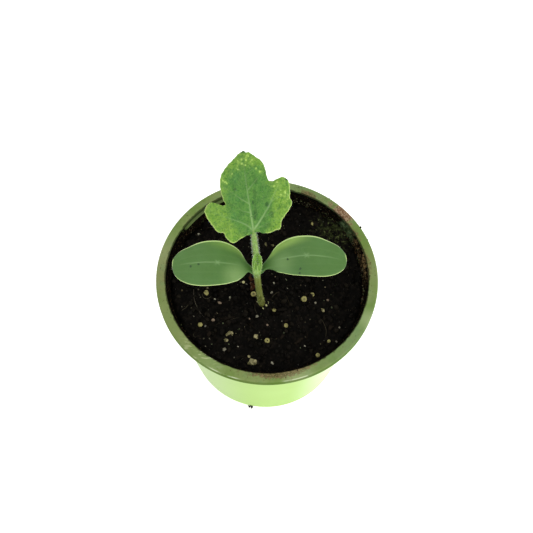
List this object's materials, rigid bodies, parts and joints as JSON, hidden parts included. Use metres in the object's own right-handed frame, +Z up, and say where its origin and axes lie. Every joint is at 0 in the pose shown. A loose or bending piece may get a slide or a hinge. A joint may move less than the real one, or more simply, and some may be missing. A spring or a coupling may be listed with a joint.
{
  "type": "potted watermelon plant",
  "caption": "Young watermelon seedling with seed leaves and a lobed true leaf, growing in potting mix in a round tapered plastic nursery pot.",
  "frame": {"origin": "centre of the circle that the pot stands on", "axes": "+Z up along the pot's axis; +Y towards the side that the true leaf leans to; +X towards the right seed leaf"},
  "size_m": [0.11, 0.11, 0.1398],
  "materials": {
    "pot_plastic": "lime green moulded polypropylene, the rim and inside duller and olive with soil stains",
    "potting_mix": "moist dark peat with perlite and grit grains",
    "stem_green": "olive green stem, browner towards the soil",
    "seed_leaf_green": "smooth fleshy blade with a paler margin",
    "leaf_green": "blistered lobed blade with pale veins and short hairs",
    "tip_green": "downy folded young leaves"
  },
  "bodies": {
    "root": {"pot": "pot_plastic", "soil": "potting_mix", "stem": "stem_green", "cotyledon_left": "seed_leaf_green", "cotyledon_right": "seed_leaf_green", "true_leaf": "leaf_green", "growing_tip": "tip_green"}
  },
  "joints": []
}
